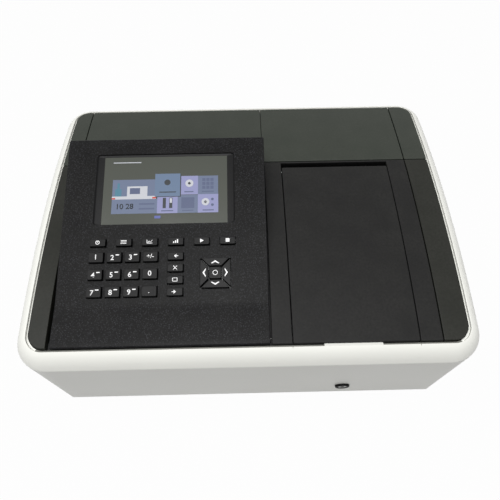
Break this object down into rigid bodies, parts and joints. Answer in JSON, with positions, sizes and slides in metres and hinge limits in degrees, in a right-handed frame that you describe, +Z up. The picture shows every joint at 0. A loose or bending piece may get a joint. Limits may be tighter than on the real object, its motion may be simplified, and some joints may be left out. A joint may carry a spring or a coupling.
{
  "type": "spectrophotometer",
  "caption": "Bench spectrophotometer: white moulded casing, dark crowned deck, raised sloping console with screen and keys, hinged sample lid and a sliding cuvette carriage.",
  "frame": {"origin": "middle of the rectangle under the feet, on the bench", "axes": "+X to the right, +Y to the rear, +Z up; the keys and the pull rod are at the front, -Y"},
  "size_m": [0.47, 0.358, 0.2179],
  "materials": {
    "casing": "fine-textured warm white",
    "trim": "satin charcoal",
    "cover": "fine-textured charcoal",
    "deck": "fine-textured black",
    "console": "coarse-textured black",
    "glass": "clear hard-coated window",
    "keys": "satin black",
    "steel": "brushed",
    "zinc": "grey powder coat",
    "aluminium": "machined",
    "black_anodised": "black anodised",
    "black_plastic": "satin black",
    "knob": "grey",
    "board": "green solder mask",
    "lamp": "clear",
    "mirror": "front-silvered",
    "rubber": "matt"
  },
  "bodies": {
    "housing": {"base_pan": "zinc", "casing": "casing", "rear_covers": "cover", "side_trims": "trim", "bay_frame": "deck", "console": "console", "display_glass": "glass", "lcd_module": "steel", "keypad_board": "board", "hinge_pins": "steel", "bay_liner": "black_plastic", "rod_bush": "black_plastic", "carriage_rails": "steel", "optics_base": "aluminium", "lamp_house": "aluminium", "tungsten_lamp": "lamp", "deuterium_lamp": "lamp", "stepper_motors": "black_anodised", "mirrors": "mirror", "detector": "black_anodised", "power_supply": "board", "main_board": "board", "fan_frame": "black_plastic", "power_inlet": "black_plastic", "feet": "rubber", "screws": "steel"},
    "lid": {"sample_lid": "deck"},
    "carriage": {"cell_carriage": "black_anodised", "pull_rod": "knob"},
    "rocker": {"power_rocker": "black_plastic"},
    "fan": {"fan_rotor": "black_plastic"},
    "grating": {"grating_table": "aluminium"},
    "wheel": {"filter_wheel": "black_anodised"},
    "button_7": {"key_7": "keys"},
    "button_8": {"key_8": "keys"},
    "button_9": {"key_9": "keys"},
    "button_point": {"key_point": "keys"},
    "button_4": {"key_4": "keys"},
    "button_5": {"key_5": "keys"},
    "button_6": {"key_6": "keys"},
    "button_0": {"key_0": "keys"},
    "button_1": {"key_1": "keys"},
    "button_2": {"key_2": "keys"},
    "button_3": {"key_3": "keys"},
    "button_sign": {"key_sign": "keys"},
    "button_f1": {"key_f1": "keys"},
    "button_f2": {"key_f2": "keys"},
    "button_f3": {"key_f3": "keys"},
    "button_f4": {"key_f4": "keys"},
    "button_f5": {"key_f5": "keys"},
    "button_f6": {"key_f6": "keys"},
    "button_c1": {"key_c1": "keys"},
    "button_c2": {"key_c2": "keys"},
    "button_c3": {"key_c3": "keys"},
    "button_c4": {"key_c4": "keys"},
    "button_ok": {"key_ok": "keys"},
    "button_up": {"key_up": "keys"},
    "button_left": {"key_left": "keys"},
    "button_down": {"key_down": "keys"},
    "button_right": {"key_right": "keys"}
  },
  "joints": [
    {"name": "lid_hinge", "type": "hinge", "parent": "housing", "child": "lid", "pos_m": [0.10515, 0.05, 0.16903], "axis": [-1, 0, 0], "range_deg": [0, 95]},
    {"name": "carriage_slide", "type": "slide", "parent": "housing", "child": "carriage", "axis": [0, -1, 0], "range_m": [0, 0.066]},
    {"name": "power_rock", "type": "hinge", "parent": "housing", "child": "rocker", "pos_m": [-0.1391, 0.17257, 0.05], "axis": [-1, 0, 0], "range_deg": [0, 16]},
    {"name": "fan_spin", "type": "hinge", "parent": "housing", "child": "fan", "pos_m": [0.002, 0.1645, 0.075], "axis": [0, 1, 0], "continuous": true},
    {"name": "grating_turn", "type": "hinge", "parent": "housing", "child": "grating", "pos_m": [-0.049, 0.044, 0.03], "axis": [0, 0, 1], "range_deg": [-30, 30]},
    {"name": "wheel_spin", "type": "hinge", "parent": "housing", "child": "wheel", "pos_m": [0.0185, -0.021, 0.075], "axis": [1, 0, 0], "continuous": true},
    {"name": "press_7", "type": "slide", "parent": "housing", "child": "button_7", "axis": [0, 0.2062, -0.9785], "range_m": [0, 0.0012], "stiffness_N_per_m": 500, "springref_m": -0.001},
    {"name": "press_8", "type": "slide", "parent": "housing", "child": "button_8", "axis": [0, 0.2062, -0.9785], "range_m": [0, 0.0012], "stiffness_N_per_m": 500, "springref_m": -0.001},
    {"name": "press_9", "type": "slide", "parent": "housing", "child": "button_9", "axis": [0, 0.2062, -0.9785], "range_m": [0, 0.0012], "stiffness_N_per_m": 500, "springref_m": -0.001},
    {"name": "press_point", "type": "slide", "parent": "housing", "child": "button_point", "axis": [0, 0.2062, -0.9785], "range_m": [0, 0.0012], "stiffness_N_per_m": 500, "springref_m": -0.001},
    {"name": "press_4", "type": "slide", "parent": "housing", "child": "button_4", "axis": [0, 0.2062, -0.9785], "range_m": [0, 0.0012], "stiffness_N_per_m": 500, "springref_m": -0.001},
    {"name": "press_5", "type": "slide", "parent": "housing", "child": "button_5", "axis": [0, 0.2062, -0.9785], "range_m": [0, 0.0012], "stiffness_N_per_m": 500, "springref_m": -0.001},
    {"name": "press_6", "type": "slide", "parent": "housing", "child": "button_6", "axis": [0, 0.2062, -0.9785], "range_m": [0, 0.0012], "stiffness_N_per_m": 500, "springref_m": -0.001},
    {"name": "press_0", "type": "slide", "parent": "housing", "child": "button_0", "axis": [0, 0.2062, -0.9785], "range_m": [0, 0.0012], "stiffness_N_per_m": 500, "springref_m": -0.001},
    {"name": "press_1", "type": "slide", "parent": "housing", "child": "button_1", "axis": [0, 0.2062, -0.9785], "range_m": [0, 0.0012], "stiffness_N_per_m": 500, "springref_m": -0.001},
    {"name": "press_2", "type": "slide", "parent": "housing", "child": "button_2", "axis": [0, 0.2062, -0.9785], "range_m": [0, 0.0012], "stiffness_N_per_m": 500, "springref_m": -0.001},
    {"name": "press_3", "type": "slide", "parent": "housing", "child": "button_3", "axis": [0, 0.2062, -0.9785], "range_m": [0, 0.0012], "stiffness_N_per_m": 500, "springref_m": -0.001},
    {"name": "press_sign", "type": "slide", "parent": "housing", "child": "button_sign", "axis": [0, 0.2062, -0.9785], "range_m": [0, 0.0012], "stiffness_N_per_m": 500, "springref_m": -0.001},
    {"name": "press_f1", "type": "slide", "parent": "housing", "child": "button_f1", "axis": [0, 0.2062, -0.9785], "range_m": [0, 0.0012], "stiffness_N_per_m": 500, "springref_m": -0.001},
    {"name": "press_f2", "type": "slide", "parent": "housing", "child": "button_f2", "axis": [0, 0.2062, -0.9785], "range_m": [0, 0.0012], "stiffness_N_per_m": 500, "springref_m": -0.001},
    {"name": "press_f3", "type": "slide", "parent": "housing", "child": "button_f3", "axis": [0, 0.2062, -0.9785], "range_m": [0, 0.0012], "stiffness_N_per_m": 500, "springref_m": -0.001},
    {"name": "press_f4", "type": "slide", "parent": "housing", "child": "button_f4", "axis": [0, 0.2062, -0.9785], "range_m": [0, 0.0012], "stiffness_N_per_m": 500, "springref_m": -0.001},
    {"name": "press_f5", "type": "slide", "parent": "housing", "child": "button_f5", "axis": [0, 0.2062, -0.9785], "range_m": [0, 0.0012], "stiffness_N_per_m": 500, "springref_m": -0.001},
    {"name": "press_f6", "type": "slide", "parent": "housing", "child": "button_f6", "axis": [0, 0.2062, -0.9785], "range_m": [0, 0.0012], "stiffness_N_per_m": 500, "springref_m": -0.001},
    {"name": "press_c1", "type": "slide", "parent": "housing", "child": "button_c1", "axis": [0, 0.2062, -0.9785], "range_m": [0, 0.0012], "stiffness_N_per_m": 500, "springref_m": -0.001},
    {"name": "press_c2", "type": "slide", "parent": "housing", "child": "button_c2", "axis": [0, 0.2062, -0.9785], "range_m": [0, 0.0012], "stiffness_N_per_m": 500, "springref_m": -0.001},
    {"name": "press_c3", "type": "slide", "parent": "housing", "child": "button_c3", "axis": [0, 0.2062, -0.9785], "range_m": [0, 0.0012], "stiffness_N_per_m": 500, "springref_m": -0.001},
    {"name": "press_c4", "type": "slide", "parent": "housing", "child": "button_c4", "axis": [0, 0.2062, -0.9785], "range_m": [0, 0.0012], "stiffness_N_per_m": 500, "springref_m": -0.001},
    {"name": "press_ok", "type": "slide", "parent": "housing", "child": "button_ok", "axis": [0, 0.2062, -0.9785], "range_m": [0, 0.0012], "stiffness_N_per_m": 500, "springref_m": -0.001},
    {"name": "press_up", "type": "slide", "parent": "housing", "child": "button_up", "axis": [0, 0.2062, -0.9785], "range_m": [0, 0.0012], "stiffness_N_per_m": 500, "springref_m": -0.001},
    {"name": "press_left", "type": "slide", "parent": "housing", "child": "button_left", "axis": [0, 0.2062, -0.9785], "range_m": [0, 0.0012], "stiffness_N_per_m": 500, "springref_m": -0.001},
    {"name": "press_down", "type": "slide", "parent": "housing", "child": "button_down", "axis": [0, 0.2062, -0.9785], "range_m": [0, 0.0012], "stiffness_N_per_m": 500, "springref_m": -0.001},
    {"name": "press_right", "type": "slide", "parent": "housing", "child": "button_right", "axis": [0, 0.2062, -0.9785], "range_m": [0, 0.0012], "stiffness_N_per_m": 500, "springref_m": -0.001}
  ]
}
